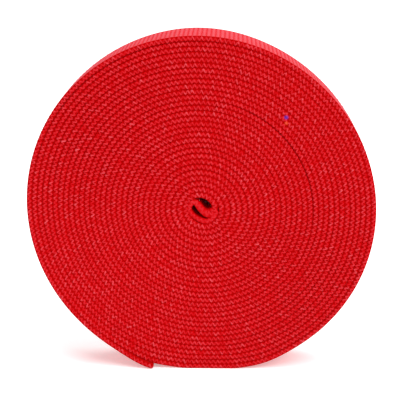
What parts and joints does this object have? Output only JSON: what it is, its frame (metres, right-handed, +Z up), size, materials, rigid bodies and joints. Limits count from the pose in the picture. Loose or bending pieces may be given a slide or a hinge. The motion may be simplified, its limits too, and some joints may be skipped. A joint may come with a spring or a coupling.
{
  "type": "roll of tubular webbing",
  "caption": "Flat-pressed tubular webbing wound into a flat roll that stands on its rim, with its loose end on the ground.",
  "frame": {"origin": "on the surface that the roll stands on, under the middle of the roll's box", "axes": "+Z up, +Y along the roll's axis away from the near face, +X to the right as seen from the near face"},
  "size_m": [0.1504, 0.025, 0.1475],
  "materials": {
    "webbing": "matt red woven synthetic webbing"
  },
  "bodies": {
    "root": {"wound_roll": "webbing", "loose_end": "webbing"}
  },
  "joints": []
}
